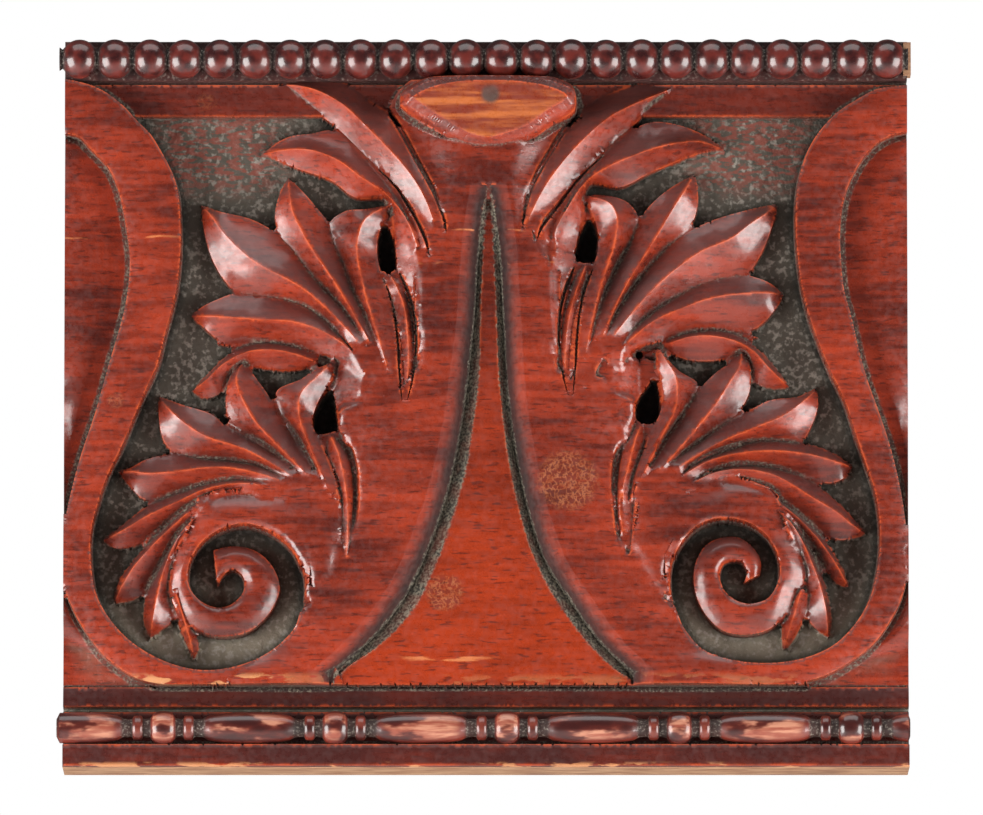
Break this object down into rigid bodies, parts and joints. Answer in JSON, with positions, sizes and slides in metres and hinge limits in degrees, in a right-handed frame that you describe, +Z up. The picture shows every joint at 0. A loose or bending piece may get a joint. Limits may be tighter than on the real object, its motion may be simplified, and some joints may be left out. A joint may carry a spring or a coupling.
{
  "type": "carved frieze moulding",
  "caption": "Square-cut length of carved mahogany frieze moulding with acanthus leaves, volutes and S-shaped bands, a pearl bead rod above and a bead-and-reel below.",
  "frame": {"origin": "middle of the flat back of the board", "axes": "+X along the moulding, +Z up, the carved face looks to -Y and the flat back to +Y"},
  "size_m": [0.2308, 0.0278, 0.198],
  "materials": {
    "shellacked_mahogany": "old red-brown shellac over carved mahogany, glossy on the forms, worn orange on the crests and dusty black in the hollows",
    "dark_shellac": "dark glossy shellac over turned mahogany beads, greyed with dust at the necks",
    "rubbed_shellac": "glossy dark shellac rubbed through to pale red wood on the fronts of the beads"
  },
  "bodies": {
    "root": {"carved_panel": "shellacked_mahogany", "bead_strip": "dark_shellac", "bead_and_reel": "rubbed_shellac"}
  },
  "joints": []
}
